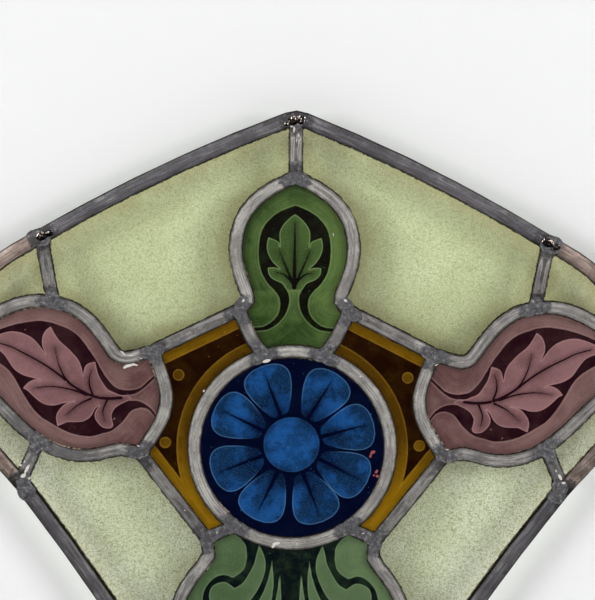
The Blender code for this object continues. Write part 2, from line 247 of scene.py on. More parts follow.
def streaks(tree, scale, across):
    """Noise that also changes with a given number, so that it runs along the lines where that is equal."""
    inputs = {"Vector": place_in(tree), "W": across, "Scale": scale, "Detail": 3, "Roughness": 0.6}
    return add_node(tree, "ShaderNodeTexNoise", inputs, noise_dimensions="4D").outputs[0]


def attribute(tree, name):
    return add_node(tree, "ShaderNodeAttribute", attribute_name=name).outputs["Fac"]


def add_bump(tree, shader, height, strength, distance):
    """Lets a height show in the light, as relief. The distance is in millimetres."""
    inputs = {"Height": height, "Strength": strength, "Distance": distance * MM}
    tree.links.new(add_node(tree, "ShaderNodeBump", inputs).outputs[0], shader.inputs["Normal"])


def new_group(name, inputs, outputs):
    tree = bpy.data.node_groups.new(name, "ShaderNodeTree")
    for label, kind in inputs.items():
        tree.interface.new_socket(label, in_out="INPUT", socket_type=f"NodeSocket{kind}")
    for label, kind in outputs.items():
        tree.interface.new_socket(label, in_out="OUTPUT", socket_type=f"NodeSocket{kind}")
    return tree, tree.nodes.new("NodeGroupInput").outputs, tree.nodes.new("NodeGroupOutput")


def new_material(name, **values):
    """A material with an empty tree but for its shader and output."""
    material = bpy.data.materials.new(name)
    material.use_nodes = True
    shader = material.node_tree.nodes["Principled BSDF"]
    for key, value in values.items():
        shader.inputs[key.replace("_", " ")].default_value = value
    return material, material.node_tree, shader


# %% Old lead, as a group
tree, given, out = new_group(
    "old lead",
    {"Dull": "Color", "Bright": "Color", "Soldered": "Color", "Polish": "Float", "Solder": "Float",
     "Inwards": "Float"},
    {"Color": "Color", "Roughness": "Float", "Height": "Float"})
mottle = noise(tree, 260, 4, 0.65)
grit = noise(tree, 1100, 3, 0.6)
drawn = streaks(tree, 60, times(tree, given["Inwards"], 0.045))
patch = ramped(tree, times_plus(tree, mottle, 0.6, given["Solder"]), 0.62, 0.8)
wiped = ramped(tree, noise(tree, 60, 3, 0.6), 0.35, 0.65, -0.3, 0.3)
polish = maths(tree, "ADD", given["Polish"], wiped, clamp=True)
bare = mixed(tree, polish, given["Dull"], given["Bright"])
bare = mixed(tree, ramped(tree, drawn, 0.42, 0.58, 0.5, 0), bare, colour(76, 73, 72))
bare = mixed(tree, ramped(tree, drawn, 0.54, 0.68, 0, 0.3), bare, colour(228, 224, 216))
scuffs = noise(tree, 420, 4, 0.75)
smoothed = mixed(tree, ramped(tree, scuffs, 0.38, 0.56, 0.6, 0), given["Soldered"], colour(62, 60, 63))
smoothed = mixed(tree, ramped(tree, scuffs, 0.54, 0.7, 0, 0.75), smoothed, colour(186, 184, 182))
tone = mixed(tree, patch, bare, smoothed)
tone = mixed(tree, ramped(tree, grit, 0.54, 0.68, 0, 0.55), tone, colour(60, 58, 58))
# Darker along the lead's edges: partly dirt, partly painted shade where the lead turns down to the glass.
rim = times_plus(tree, mottle, -1.6, given["Inwards"])
tone = mixed(tree, ramped(tree, rim, -0.7, 0.4, 0.8, 0), tone, colour(44, 38, 33))
tree.links.new(tone, out.inputs["Color"])
rough = times_plus(tree, grit, 0.3, ramped(tree, patch, 0, 1, 0.36, 0.28))
tree.links.new(rough, out.inputs["Roughness"])
wear = maths(tree, "ADD", times(tree, mottle, 0.5), times(tree, grit, 0.4))
wear = times_plus(tree, drawn, 0.8, wear)
wear = times_plus(tree, times(tree, scuffs, patch), 1.4, wear)
tree.links.new(wear, out.inputs["Height"])
OLD_LEAD = tree


# %% Lead and solder
def lead_material(name, dull, bright, soldered, metallic):
    material, tree, shader = new_material(name, Metallic=metallic)
    group = add_node(tree, "ShaderNodeGroup", node_tree=OLD_LEAD)
    for label, value in {"Dull": dull, "Bright": bright, "Soldered": soldered}.items():
        group.inputs[label].default_value = value
    for label in ("Polish", "Solder", "Inwards"):
        tree.links.new(attribute(tree, label.lower()), group.inputs[label])
    tree.links.new(group.outputs["Color"], shader.inputs["Base Color"])
    tree.links.new(group.outputs["Roughness"], shader.inputs["Roughness"])
    add_bump(tree, shader, group.outputs["Height"], 0.7, 0.3)
    return material


LEAD = lead_material("lead", colour(122, 120, 120), colour(190, 186, 180), colour(108, 107, 110), 0.35)
BORDER_LEAD = lead_material("border_lead", colour(94, 92, 98), colour(146, 143, 147), colour(86, 85, 89), 0.6)
EAR_LEAD = lead_material("ear_lead", colour(92, 76, 68), colour(222, 196, 182), colour(96, 90, 90), 0.65)
SOLDER = lead_material("solder", colour(104, 103, 106), colour(104, 103, 106), colour(108, 107, 110), 0.45)

DROPLET, tree, shader = new_material("solder_bead", Metallic=1.0)
tone = mixed(tree, noise(tree, 400, 3), colour(70, 62, 56), colour(170, 158, 150))
tree.links.new(tone, shader.inputs["Base Color"])
tree.links.new(ramped(tree, noise(tree, 500, 2), 0.3, 0.8, 0.08, 0.22), shader.inputs["Roughness"])
add_bump(tree, shader, noise(tree, 330, 2), 0.8, 1.5)

CRUST, tree, shader = new_material("white_crust", Metallic=0.0, Roughness=0.6)
tone = mixed(tree, noise(tree, 900, 3), colour(176, 166, 156), colour(246, 242, 236))
tree.links.new(tone, shader.inputs["Base Color"])
CORAL, tree, shader = new_material("coral_paint", Metallic=0.0, Roughness=0.5)
shader.inputs["Base Color"].default_value = colour(150, 70, 72)


# %% Pale pebbled glass
def glass_material(name, transmission, roughness):
    """Glass that only tints the light on its way to the wall, so that the leads throw clear shadows there."""
    material, tree, shader = new_material(name, Roughness=roughness, IOR=1.45)
    shader.inputs["Transmission Weight"].default_value = transmission
    clear = add_node(tree, "ShaderNodeBsdfTransparent")
    ray = add_node(tree, "ShaderNodeLightPath").outputs
    surface = shader
    for kind in ("Is Shadow Ray", "Is Diffuse Ray"):
        inputs = {0: ray[kind], 1: surface.outputs[0], 2: clear.outputs[0]}
        surface = add_node(tree, "ShaderNodeMixShader", inputs)
    tree.links.new(surface.outputs[0], tree.nodes["Material Output"].inputs["Surface"])
    return material, tree, shader, clear


tree, given, out = new_group("cement line", {"Glass": "Color", "Cement": "Float"}, {"Color": "Color"})
ragged = times_plus(tree, noise(tree, 300, 4, 0.65), 2.6, maths(tree, "ADD", given["Cement"], -1.3))
cement = mixed(tree, noise(tree, 900, 3), colour(20, 18, 15), colour(62, 54, 42))
crumbling = times(tree, ramped(tree, noise(tree, 26, 2), 0.58, 0.66),
                  ramped(tree, noise(tree, 500, 3), 0.4, 0.6))
cement = mixed(tree, crumbling, cement, colour(196, 178, 152))
tone = mixed(tree, ramped(tree, ragged, -0.2, 0.3, 1, 0), given["Glass"], cement)
tree.links.new(tone, out.inputs["Color"])
CEMENT_LINE = tree


def with_cement(tree, tone):
    """Cement where the glass meets the lead, as a ragged line that crumbles in places."""
    inputs = {"Glass": tone, "Cement": attribute(tree, "cement")}
    return add_node(tree, "ShaderNodeGroup", inputs, node_tree=CEMENT_LINE).outputs[0]


PALE, tree, shader, clear = glass_material("pale_glass", 0.91, 0.1)
clear.inputs["Color"].default_value = colour(243, 247, 238)
grain = noise(tree, 1300, 2, 0.8)
lumps = noise(tree, 520, 3, 0.6)
height = add_node(tree, "ShaderNodeSeparateXYZ", {0: place_in(tree)}).outputs[2]
low_down = ramped(tree, height, MIDDLE.z - 20 * MM, MIDDLE.z + 60 * MM, 1, 0)
clouds = noise(tree, 14, 3, 0.55)
tone = mixed(tree, low_down, colour(246, 251, 212), colour(253, 255, 240))
# Painted shade: the glass is tinted darker and browner within about 34 mm of the lead, less on the lower
# panes.
middle = ramped(tree, attribute(tree, "edge"), 0, 34)
painted_edge_shade = times_plus(tree, middle, -0.35, ramped(tree, low_down, 0, 1, 0.36, 0.1), clamp=True)
tone = mixed(tree, painted_edge_shade, tone, colour(178, 172, 108))
tone = mixed(tree, ramped(tree, clouds, 0.4, 0.6, 0, 0.35), tone, colour(206, 206, 158))
# Speckle: partly the glass's own mottle, partly painted light and shade of its pebbles, with painted glints
# in near-white. It is stronger on the lower panes.
contrast = times_plus(tree, low_down, 0.3, 0.6)
for speckle, low, high, pebble_light_and_shade in (
        (lumps, 0.48, 0.36, colour(182, 188, 138)),
        (grain, 0.5, 0.38, colour(160, 164, 114)),
        (grain, 0.52, 0.66, colour(255, 255, 248))):
    tone = mixed(tree, times(tree, ramped(tree, speckle, low, high), contrast), tone, pebble_light_and_shade)
dirt = times_plus(tree, noise(tree, 40, 4, 0.65), -26.0, attribute(tree, "edge"))
dirt = times_plus(tree, grain, -10.0, dirt)
dirt = times(tree, ramped(tree, dirt, -19, -6, 1, 0), ramped(tree, low_down, 0, 1, 0.35, 0.15))
tone = mixed(tree, dirt, tone, colour(160, 140, 84))
tree.links.new(with_cement(tree, tone), shader.inputs["Base Color"])
add_bump(tree, shader, times_plus(tree, grain, 0.8, times(tree, lumps, 0.3)), 0.3, 0.2)

# %% Fired paint, as a group
tree, given, out = new_group(
    "fired paint",
    {"Glass": "Color", "Deep": "Color", "Leaf": "Color", "Line": "Color", "Outline": "Color",
     "Clouds": "Float"},
    {"Color": "Color", "Height": "Float"})
wobble = times_plus(tree, noise(tree, 300, 3, 0.6), 0.6, -0.3)
field = maths(tree, "ADD", attribute(tree, "field"), wobble)
leaf = maths(tree, "ADD", attribute(tree, "leaf"), times(tree, wobble, 0.5))
vein = maths(tree, "ADD", attribute(tree, "vein"), times(tree, wobble, 0.5))
in_field = ramped(tree, field, -0.18, 0.18)
in_leaf = ramped(tree, leaf, -0.18, 0.18)
in_vein = ramped(tree, vein, -0.12, 0.12)
stipple = noise(tree, 1300, 2, 0.75)
clouds = ramped(tree, noise(tree, 60, 4, 0.6), 0.35, 0.65, -1, 1)
deep = times_plus(tree, clouds, given["Clouds"], attribute(tree, "deep"), clamp=True)
line = mixed(tree, ramped(tree, noise(tree, 90, 4, 0.7), 0.4, 0.7, 0, 0.22), given["Line"], given["Deep"])
brushed = streaks(tree, 60, times(tree, attribute(tree, "field"), 0.07))
glass = mixed(tree, deep, given["Glass"], given["Deep"])
glass = mixed(tree, ramped(tree, brushed, 0.35, 0.52, 0.4, 0), glass, given["Deep"])
glass = mixed(tree, ramped(tree, brushed, 0.52, 0.7, 0, 0.25), glass, given["Outline"])
glass = mixed(tree, ramped(tree, stipple, 0.5, 0.68, 0, 0.25), glass, given["Line"])
halo = times(tree, ramped(tree, field, -1.3, -0.5), ramped(tree, field, -0.5, -0.15, 1, 0))
glass = mixed(tree, times(tree, halo, 0.35), glass, given["Outline"])
shade = attribute(tree, "shade")
dots = maths(tree, "SUBTRACT", times_plus(tree, shade, 0.55, 0.22), stipple)
dots = ramped(tree, dots, -0.14, 0.14)
leaf_tone = mixed(tree, times(tree, deep, 0.85), given["Leaf"], given["Deep"])
leaf_tone = mixed(tree, ramped(tree, stipple, 0.52, 0.7, 0, 0.3), leaf_tone, given["Outline"])
leaf_tone = mixed(tree, times(tree, shade, 0.6), leaf_tone, given["Line"])
leaf_tone = mixed(tree, times(tree, dots, 0.22), leaf_tone, given["Line"])
rim = times(tree, ramped(tree, leaf, 0.1, 0.35), ramped(tree, leaf, 0.4, 0.95, 1, 0))
rim = times(tree, rim, ramped(tree, shade, 0.1, 0.7, 1, 0))
leaf_tone = mixed(tree, times(tree, rim, 0.6), leaf_tone, given["Outline"])
painted = mixed(tree, in_field, glass, line)
painted = mixed(tree, in_leaf, painted, leaf_tone)
painted = mixed(tree, times(tree, in_vein, in_leaf), painted, given["Line"])
scratches = ramped(tree, noise(tree, 500, 2, 0.5), 0.735, 0.76, 0, 0.5)
painted = mixed(tree, scratches, painted, given["Outline"])
# Painted shade: the glass darkens towards the line colour within a few millimetres of the lead, where the
# lead shades it.
painted_lead_shade = times_plus(tree, clouds, 1.2, attribute(tree, "edge"))
painted = mixed(tree, ramped(tree, painted_lead_shade, -1, 5.5, 0.5, 0), painted, given["Line"])
tree.links.new(painted, out.inputs["Color"])
dark = times(tree, in_field, maths(tree, "SUBTRACT", 1.0, in_leaf))
height = times_plus(tree, noise(tree, 120, 2), 0.8, times(tree, dark, 0.3))
tree.links.new(height, out.inputs["Height"])
FIRED_PAINT = tree


# %% The painted glasses
def painted_glass(name, glass, deep, leaf, line, outline, clouds=0.25, transmission=0.25):
    material, tree, shader, clear = glass_material(name, transmission, 0.12)
    group = add_node(tree, "ShaderNodeGroup", node_tree=FIRED_PAINT)
    for label, value in {"Glass": glass, "Deep": deep, "Leaf": leaf, "Line": line, "Outline": outline,
                         "Clouds": clouds}.items():
        group.inputs[label].default_value = value
    tree.links.new(with_cement(tree, group.outputs["Color"]), shader.inputs["Base Color"])
    shadow = mixed(tree, 1.0, group.outputs["Color"], colour(120, 120, 120), "MULTIPLY")
    tree.links.new(shadow, clear.inputs["Color"])
    add_bump(tree, shader, group.outputs["Height"], 0.15, 0.4)
    return material


GREEN = painted_glass("green_glass", colour(102, 128, 68), colour(48, 72, 32), colour(78, 104, 52),
                      colour(16, 12, 8), colour(150, 172, 118))
LOWER_GREEN = painted_glass("lower_green_glass", colour(108, 132, 92), colour(76, 100, 64),
                            colour(100, 124, 86), colour(12, 22, 24), colour(135, 158, 118))
PURPLE = painted_glass("purple_glass", colour(142, 111, 107), colour(98, 66, 66), colour(158, 115, 117),
                       colour(40, 15, 23), colour(190, 152, 150), 0.3)
AMBER = painted_glass("amber_glass", colour(158, 118, 12), colour(86, 58, 6), colour(146, 108, 8),
                      colour(32, 12, 3), colour(175, 135, 45), 0.2)
BLUE = painted_glass("blue_glass", colour(4, 9, 30), colour(12, 34, 62), colour(26, 86, 154),
                     colour(3, 9, 38), colour(92, 142, 186), 0.65)

# %% [markdown]
# Each strip of lead starts as a copy of its solid. Dividing its faces gives the dents something to move. The
# faces are rounded first: the nearer a point lies to the strip's edge, the lower it goes. Then two clouded
# textures push them about by a few tenths of a millimetre, and a bevel softens the edges of the leaves. The
# strip is made slightly thinner than its solid, so that the solder on top stays inside the solid's box.

# %% Dents in three sizes, as textures for the Displace modifier
LEAD_SHARE = 0.88
CLOUDS = {}
for label, size in {"long": 14, "short": 5, "fine": 1.6}.items():
    CLOUDS[label] = bpy.data.textures.new(f"{label}_dents", "CLOUDS")
    CLOUDS[label].noise_scale = size * MM


def finish_with(piece, kind, **settings):
    """Adds a modifier to the selected piece and applies it."""
    bpy.ops.object.modifier_add(type=kind)
    modifier = piece.modifiers[-1]
    for key, value in settings.items():
        setattr(modifier, key, value)
    bpy.ops.object.modifier_apply(modifier=modifier.name)


def dent(piece, clouds, depth, **settings):
    """Pushes the faces in and out as one of the clouded textures says."""
    finish_with(piece, "DISPLACE", texture=CLOUDS[clouds], texture_coords="LOCAL", strength=depth * MM,
                **settings)


def mark(piece, name, values):
    """Writes one number per point of the mesh, for its material to read."""
    layer = piece.data.attributes.new(name, "FLOAT", "POINT")
    layer.data.foreach_set("value", np.asarray(values, dtype=np.float32))


# %% Every strip of lead
SOLDER_REACH = 18
LEAF_UNDERSIDE = 1.8
LOWERED, ROUNDED, ROUNDING_REACH = 0.15, 0.65, 3.2
HALF_DEPTH = 3
LONG_DENTS, SHORT_DENTS, LEAF_BEVEL = 0.4, 0.25, 0.45
POLISH = {"roundel": 1.0, "lobe_top": 1.0, "lobe_end": 0.95, "lobe_upper": 0.6, "lobe_bottom": 0.55,
          "lobe_lower": 0.25, "apex": 1.0, "wing": 0.25, "tie": 0.2, "ear": 0.2, "bulb": 0.4, "foot": 0.4,
          "border": 0.45}


def keep_in_box(piece):
    """Moves points that dents have pushed out of the solid's box back to its sides."""
    places = np.clip(places_of(piece.data), cad_box[0], cad_box[1])
    piece.data.vertices.foreach_set("co", places.ravel())


def walls_of(piece):
    """The faces round the edge of a strip, in a tree that can be asked for the nearest one."""
    faces = [tuple(face.vertices) for face in piece.data.polygons if abs(face.normal.y) < 0.5]
    return BVHTree.FromPolygons([vertex.co for vertex in piece.data.vertices], faces)


def round_faces(piece, walls):
    for vertex in piece.data.vertices:
        proud = abs(vertex.co.y - MIDDLE.y) / MM - LEAF_UNDERSIDE * LEAD_SHARE
        if proud > 0:
            inwards = walls.find_nearest(vertex.co)[3] / MM
            drop = LOWERED + ROUNDED * max(1 - inwards / ROUNDING_REACH, 0) ** 2
            share = proud / (HALF_DEPTH - LEAF_UNDERSIDE) / LEAD_SHARE
            vertex.co.y -= math.copysign(drop * share * MM, vertex.co.y - MIDDLE.y)


def dress_lead(node):
    piece = copy_of_node(node, node.replace("came", "lead"))
    bpy.ops.object.mode_set(mode="EDIT")
    bpy.ops.mesh.select_all(action="SELECT")
    bpy.ops.transform.resize(value=(1, LEAD_SHARE, 1), center_override=MIDDLE)
    bpy.ops.object.mode_set(mode="OBJECT")
    finish_with(piece, "SUBSURF", subdivision_type="SIMPLE", levels=2, render_levels=2)
    walls = walls_of(piece)
    round_faces(piece, walls)
    dent(piece, "long", LONG_DENTS)
    dent(piece, "short", SHORT_DENTS)
    finish_with(piece, "BEVEL", limit_method="ANGLE", angle_limit=SMOOTH_ANGLE, width=LEAF_BEVEL * MM,
                segments=2)
    only(piece)
    bpy.ops.object.shade_smooth_by_angle(angle=SMOOTH_ANGLE)
    keep_in_box(piece)
    points = panel_points(piece.data)
    nearest = np.min([abs(points - joint) for joint in JOINTS], axis=0)
    mark(piece, "solder", np.clip(1 - nearest / SOLDER_REACH, 0, 1))
    mark(piece, "inwards", [walls.find_nearest(vertex.co)[3] / MM for vertex in piece.data.vertices])
    polish = next(share for label, share in POLISH.items() if label in node)
    mark(piece, "polish", np.full(len(points), polish))
    ear = node in ("came_border_left", "came_border_right")
    piece.data.materials.append(EAR_LEAD if ear else BORDER_LEAD if "border" in node else LEAD)
    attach(piece, "root")
    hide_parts(node)
    return piece


LEADS = [dress_lead(node) for node in sorted(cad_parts) if node.startswith("came")]
print(len(LEADS), "strips of lead,", sum(len(piece.data.polygons) for piece in LEADS), "faces")

# %% [markdown]
# The glass is dirty where it meets the lead, dark cement oozes out there, and painted shade darkens it
# there too. To draw that, each point of a pane needs to know how far it is from the nearest lead, and which
# strip that is. A BVH tree is a sorted box of faces that answers such a question quickly.

# %% How far glass is from the lead
corners, faces, owners = [], [], []
for piece in LEADS:
    start = len(corners)
    corners += [vertex.co.copy() for vertex in piece.data.vertices]
    faces += [[start + i for i in face.vertices] for face in piece.data.polygons]
    owners += [piece.name] * len(piece.data.polygons)
LEAD_TREE = BVHTree.FromPolygons(corners, faces)
LEAD_ABOVE_GLASS = 0.15
# Along the bottom border the dark line is drawn wider: cement, and painted shade under the lead's edge.
CEMENT_AND_SHADE_AT_FOOT, CEMENT_ELSEWHERE = 1.7, 0.55


def mark_edges(pane):
    """Writes how far each point is from the lead, and how far it is from the end of the cement."""
    edge, cement = [], []
    for vertex in pane.data.vertices:
        _, _, face, distance = LEAD_TREE.find_nearest(vertex.co)
        away = math.sqrt(max((distance / MM) ** 2 - LEAD_ABOVE_GLASS ** 2, 0))
        edge.append(away)
        cement.append(away - (CEMENT_AND_SHADE_AT_FOOT if owners[face] == "lead_border_bottom" else CEMENT_ELSEWHERE))
    mark(pane, "edge", edge)
    mark(pane, "cement", cement)

# %% [markdown]
# Glass comes next. A pane is two flat faces and an edge, which gives paint nothing to hold on to. A voxel
# remesh turns it into a fine, even net with the same outline, and each point of the net then learns how deep
# it lies inside every painted shape. The material draws crisp edges from these depths, at any distance.

# %% A pane as a fine net
FACE_STARTS = 0.75


def net_of(node, spacing):
    piece = copy_of_node(node, node + "_pane")
    low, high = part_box(node)
    piece.data.remesh_voxel_size = spacing * MM
    bpy.ops.object.voxel_remesh()
    places = places_of(piece.data)
    depth, half = places[:, 1] - MIDDLE.y, (high.y - low.y) / 2
    flat = abs(depth) > FACE_STARTS * half
    places[flat, 1] = MIDDLE.y + np.sign(depth[flat]) * half
    piece.data.vertices.foreach_set("co", places.ravel())
    only(piece)
    bpy.ops.object.shade_smooth_by_angle(angle=SMOOTH_ANGLE)
    mark_edges(piece)
    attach(piece, "root")
    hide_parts(node)
    return piece


# %% The pale panes
PALE_SPACING, PAINT_SPACING, SCROLL_SPACING = 1.0, 0.55, 0.8
for node in sorted(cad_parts):
    if node.startswith("glass") and any(word in node for word in ("field", "corner", "tail")):
        pane = net_of(node, PALE_SPACING)
        pane.data.materials.append(PALE)
        print(pane.name, len(pane.data.polygons), "faces")

# %% [markdown]
# The paint is drawn as outlines. Each leaf is a list of strokes that meet at its tips and notches, drawn for
# one half of the panel and mirrored for the other. A vein is a line with a width at its root and at its end.

# %% The leaf in a side lobe
SIDE_FIELD = [
    [86 + 52j, 90.6 + 47.2j, 95.4 + 42.7j, 99.4 + 39.1j, 105.9 + 37.2j, 112.4 + 37.7j, 116.8 + 39.6j,
     121.6 + 44.8j, 124.9 + 50j, 128.9 + 57.2j, 132.2 + 62.3j, 138.8 + 71.2j, 145.4 + 76.6j,
     151.9 + 79.4j, 158.4 + 81.5j,
     165 + 82.4j, 171.4 + 81.8j, 177.9 + 80.6j, 184.4 + 78.9j, 190.9 + 76.6j, 200 + 72.5j, 214 + 64j],
    [214 + 64j, 204 + 60.5j, 192 + 54.5j, 184 + 47.6j, 177.4 + 36j, 170.7 + 25.3j, 164.8 + 18.9j, 160 + 15.8j,
     151 + 10.6j, 144.5 + 7.9j, 138 + 6.5j, 131.5 + 6.4j, 125 + 8.2j, 118.5 + 10.2j, 112.1 + 15.5j,
     109.4 + 18.8j, 106.3 + 22.9j, 103.1 + 24.9j, 99.2 + 25.8j, 95.2 + 25j, 92 + 22.3j, 86 + 14j],
    [86 + 14j, 91.2 + 23.1j, 95.2 + 27.1j, 99.3 + 29.4j, 103.2 + 30.3j, 107.9 + 30j],
    [112.3 + 34j, 108 + 34.1j, 103.2 + 35.1j, 99.4 + 37.4j, 95.5 + 40.7j, 86 + 50j],
]
SIDE_LEAF = [
    [108 + 34.1j, 112.3 + 34j, 116.7 + 35.6j, 120.7 + 37.5j, 123.9 + 41.5j, 127.2 + 47.6j, 129.2 + 56j],
    [129.2 + 56j, 133.6 + 54.7j, 136 + 52.3j, 137.3 + 46.6j],
    [137.3 + 46.6j, 137.6 + 49.8j, 138.7 + 53.8j, 140.8 + 57.8j, 146.4 + 64.1j, 151.1 + 68.1j, 154.4 + 72.1j,
     158.1 + 78.9j],
    [158.1 + 78.9j, 161.6 + 76j, 163.5 + 72j, 163.9 + 67.9j, 163.4 + 64.9j, 161.4 + 60.3j],
    [161.4 + 60.3j, 163.8 + 63.8j, 167 + 68j, 171.3 + 71.8j, 177.8 + 74.6j, 184.3 + 75.2j, 190.8 + 73.6j,
     199 + 70.4j, 208 + 66.4j],
    [208 + 66.4j, 199 + 65.4j, 190.7 + 61.8j, 185.9 + 55.8j, 182.6 + 50.8j, 178.6 + 47.6j, 174.6 + 45.8j,
     169.1 + 44.4j, 164.7 + 43.2j],
    [164.7 + 43.2j, 168.4 + 43.6j, 171.5 + 42.5j, 174.6 + 40.1j, 176.5 + 37.7j],
    [176.5 + 37.7j, 173.3 + 36j, 170.5 + 33.2j, 166.6 + 29.7j, 162.6 + 27.3j, 158.6 + 26.5j, 154.6 + 26.7j,
     150.6 + 27.9j, 142.8 + 29.5j],
    [142.8 + 29.5j, 147.5 + 28.3j, 150.6 + 26.3j, 153.8 + 22.2j, 154.9 + 18.1j, 154 + 12.6j],
    [154 + 12.6j, 150.4 + 14.2j, 147.3 + 15.5j, 142.6 + 15.5j, 138.1 + 15.9j, 134.7 + 17.3j, 131.6 + 20.1j,
     129.2 + 24.6j, 126.5 + 27j],
    [126.5 + 27j, 129.2 + 22.6j, 129.6 + 19.3j, 128.3 + 16.2j, 125 + 12.6j, 121.9 + 11.6j, 118.8 + 11.9j,
     117.3 + 13.9j],
    [117.3 + 13.9j, 118.5 + 19.5j, 117.8 + 22.7j, 115.8 + 25.6j, 112.2 + 28j, 107.9 + 30j, 104 + 32.2j],
]
SIDE_VEINS = [
    ([112.3 + 32.2j, 118.8 + 31.6j, 125.3 + 31.9j, 131.8 + 33.4j, 138.4 + 36.5j, 144.9 + 40.5j, 151.5 + 45.9j,
      158 + 50.7j, 164.6 + 55j, 171.2 + 58.6j, 177.7 + 61.9j, 184.2 + 65.2j, 194 + 68j], 1.9, 0.6),
    ([146.2 + 41.6j, 149.3 + 45.6j, 151.7 + 50.5j, 153.6 + 56j, 155.4 + 64.3j], 1.3, 0.3),
    ([131 + 34.3j, 132.7 + 38.9j, 133.2 + 42.6j, 132.8 + 46.6j, 131.4 + 50.3j], 1.3, 0.3),
    ([134.9 + 33.7j, 144.9 + 37.2j, 157.9 + 39.1j, 169.4 + 37.9j], 1.3, 0.3),
    ([131.8 + 31.4j, 136.4 + 29.3j, 141.2 + 26.4j, 148 + 20.3j], 1.3, 0.3),
    ([121.4 + 30.6j, 123.3 + 26.3j, 124.3 + 22.6j, 123.3 + 16.8j], 1.3, 0.3),
]


# %% [markdown]
# A vein tapers. Its depth at a point is half its width there less the distance to its middle line, so one
# number per point again says where the paint is.

# %% Depths for veins and shapes
INSIDE, OUTSIDE = 9.0, -9.0


def vein_depth(points, veins):
    deepest = np.full(len(points), -FAR_AWAY)
    for drawn, root, end in veins:
        line = smooth(drawn)
        for i, (a, b) in enumerate(zip(line, line[1:])):
            share = np.clip(((points - a) * np.conj(b - a)).real / abs(b - a) ** 2, 0, 1)
            width = 0.1 + root + (end - root) * (i + share) / (len(line) - 1)
            deepest = np.maximum(deepest, width / 2 - abs(points - a - share * (b - a)))
    return deepest


def leaf_shade(leaf, vein):
    """Matting that is darkest beside the veins and fades towards the leaf's edge."""
    beside_vein = np.clip(1 + vein / 4, 0, 1) ** 1.5 * np.clip(leaf / 2, 0, 1)
    return 0.55 * beside_vein + 0.15 * np.clip(leaf / 5, 0, 1)


def paint(pane, field, leaf, vein, deep, material, shade=None):
    shade = leaf_shade(leaf, vein) if shade is None else shade
    depths = {"field": field, "leaf": leaf, "vein": vein, "deep": deep, "shade": shade}
    for name, values in depths.items():
        mark(pane, name, values)
    pane.data.materials.append(material)
    print(pane.name, len(pane.data.polygons), "faces")


# %% The side lobes
for node, side in {"glass_lobe_right": 1, "glass_lobe_left": -1}.items():
    pane = net_of(node, PAINT_SPACING)
    points = panel_points(pane.data)
    points = points if side > 0 else -points.conj()
    deep = np.clip(0.35 - (points.real - 130) / 160, 0, 0.6)
    paint(pane, depth_inside(points, outline_of(SIDE_FIELD)), depth_inside(points, outline_of(SIDE_LEAF)),
          vein_depth(points, SIDE_VEINS), deep, PURPLE)

# %% The leaf in the top lobe
TOP_FIELD = [
    [159.8j, 8.6 + 156.4j, 15 + 152j, 19.6 + 146.6j, 22 + 141j, 23.1 + 134j, 23.2 + 127j, 22.3 + 120j,
     20 + 113.6j, 16.6 + 108.4j, 12.8 + 104.6j, 10 + 100.7j, 9 + 96.5j, 9.4 + 91j, 11.6 + 86.5j, 15 + 83.2j,
     20 + 80.4j, 28 + 79.4j],
    [28 + 77.6j, 18 + 78.5j, 12.9 + 81j, 9.2 + 84.2j, 6.1 + 88.1j, 4 + 93.2j, 3.3 + 98j, 3.7 + 102.1j,
     5.7 + 106j],
]
TOP_LEAF = [
    [154.4j, 3.8 + 151.6j, 7.9 + 147j, 9.9 + 142.5j, 10 + 138.6j, 9.6 + 133.2j],
    [9.6 + 133.2j, 11 + 136.6j, 17.3 + 139.2j],
    [17.3 + 139.2j, 18.2 + 134j, 17.5 + 129j, 14.6 + 123.4j, 9.8 + 118.6j],
    [9.8 + 118.6j, 13 + 119.6j, 17.5 + 119.4j],
    [17.5 + 119.4j, 16.8 + 115j, 13.8 + 111.6j, 8.1 + 109j, 4.6 + 104.6j, 104j],
]
TOP_LEAF_BASE = 104
TOP_VEINS = [
    ([105.4j, 106.6j], 0.2, 2.8),
    ([106.6j, 120j, 134j, 148.6j], 2.8, 0.35),
    ([107.5j, 2.6 + 113j, 6.4 + 121.6j, 9.7 + 130j], 1.9, 0.3),
    ([107.5j, 3 + 111.6j, 7.4 + 115.2j, 11.6 + 116j], 1.7, 0.3),
]


def both_halves(strokes):
    """A closed outline that is drawn for the right half and mirrored to the left."""
    half = [point for stroke in strokes for point in smooth(stroke)]
    return half + flipped(half)


def mirrored_depth(points, strokes):
    return depth_inside(points, both_halves(strokes))


pane = net_of("glass_lobe_top", PAINT_SPACING)
points = panel_points(pane.data)
folded = abs(points.real) + 1j * points.imag
outwards = np.clip(-mirrored_depth(points, TOP_FIELD) / 14, 0, 1)
below = TOP_LEAF_BASE - points.imag
deep = 0.25 - points.real / 90 + 0.6 * outwards * (below < 0) + np.clip(below / 40, 0, 0.5)
paint(pane, mirrored_depth(points, TOP_FIELD), mirrored_depth(points, TOP_LEAF),
      vein_depth(folded, TOP_VEINS), deep, GREEN)

